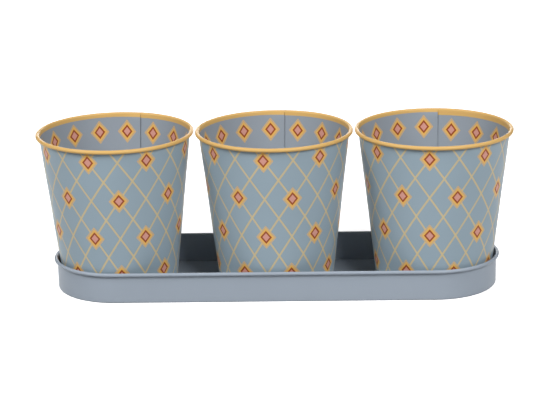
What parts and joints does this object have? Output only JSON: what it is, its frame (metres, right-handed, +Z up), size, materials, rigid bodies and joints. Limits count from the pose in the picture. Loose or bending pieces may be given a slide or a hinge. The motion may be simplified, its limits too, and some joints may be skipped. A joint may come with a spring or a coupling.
{
  "type": "indoor herb planter",
  "caption": "Windowsill herb planter: round tapered sheet-steel pots with wired rims, standing in a row in a shallow drip tray with rounded ends, each free to lift out.",
  "frame": {"origin": "on the standing surface, under the middle of the tray", "axes": "+X along the row of pots, +Z up, the front faces -Y and the pots' seams are at the back"},
  "size_m": [0.3322, 0.11, 0.112],
  "materials": {
    "pot_print": "satin lacquer over a printed pattern",
    "pot_base": "satin lacquer",
    "tray_enamel": "satin lacquer",
    "rim_wire": "galvanised"
  },
  "bodies": {
    "tray": {"tray_wall": "tray_enamel", "tray_floor": "tray_enamel", "tray_rim_wire": "rim_wire"},
    "pot_left": {"pot_left_wall": "pot_print", "pot_left_base": "pot_base", "pot_left_rim_wire": "rim_wire"},
    "pot_middle": {"pot_middle_wall": "pot_print", "pot_middle_base": "pot_base", "pot_middle_rim_wire": "rim_wire"},
    "pot_right": {"pot_right_wall": "pot_print", "pot_right_base": "pot_base", "pot_right_rim_wire": "rim_wire"}
  },
  "joints": [
    {"name": "pot_left_lift", "type": "slide", "parent": "tray", "child": "pot_left", "axis": [0, 0, 1], "range_m": [0, 0.12]},
    {"name": "pot_middle_lift", "type": "slide", "parent": "tray", "child": "pot_middle", "axis": [0, 0, 1], "range_m": [0, 0.12]},
    {"name": "pot_right_lift", "type": "slide", "parent": "tray", "child": "pot_right", "axis": [0, 0, 1], "range_m": [0, 0.12]}
  ]
}
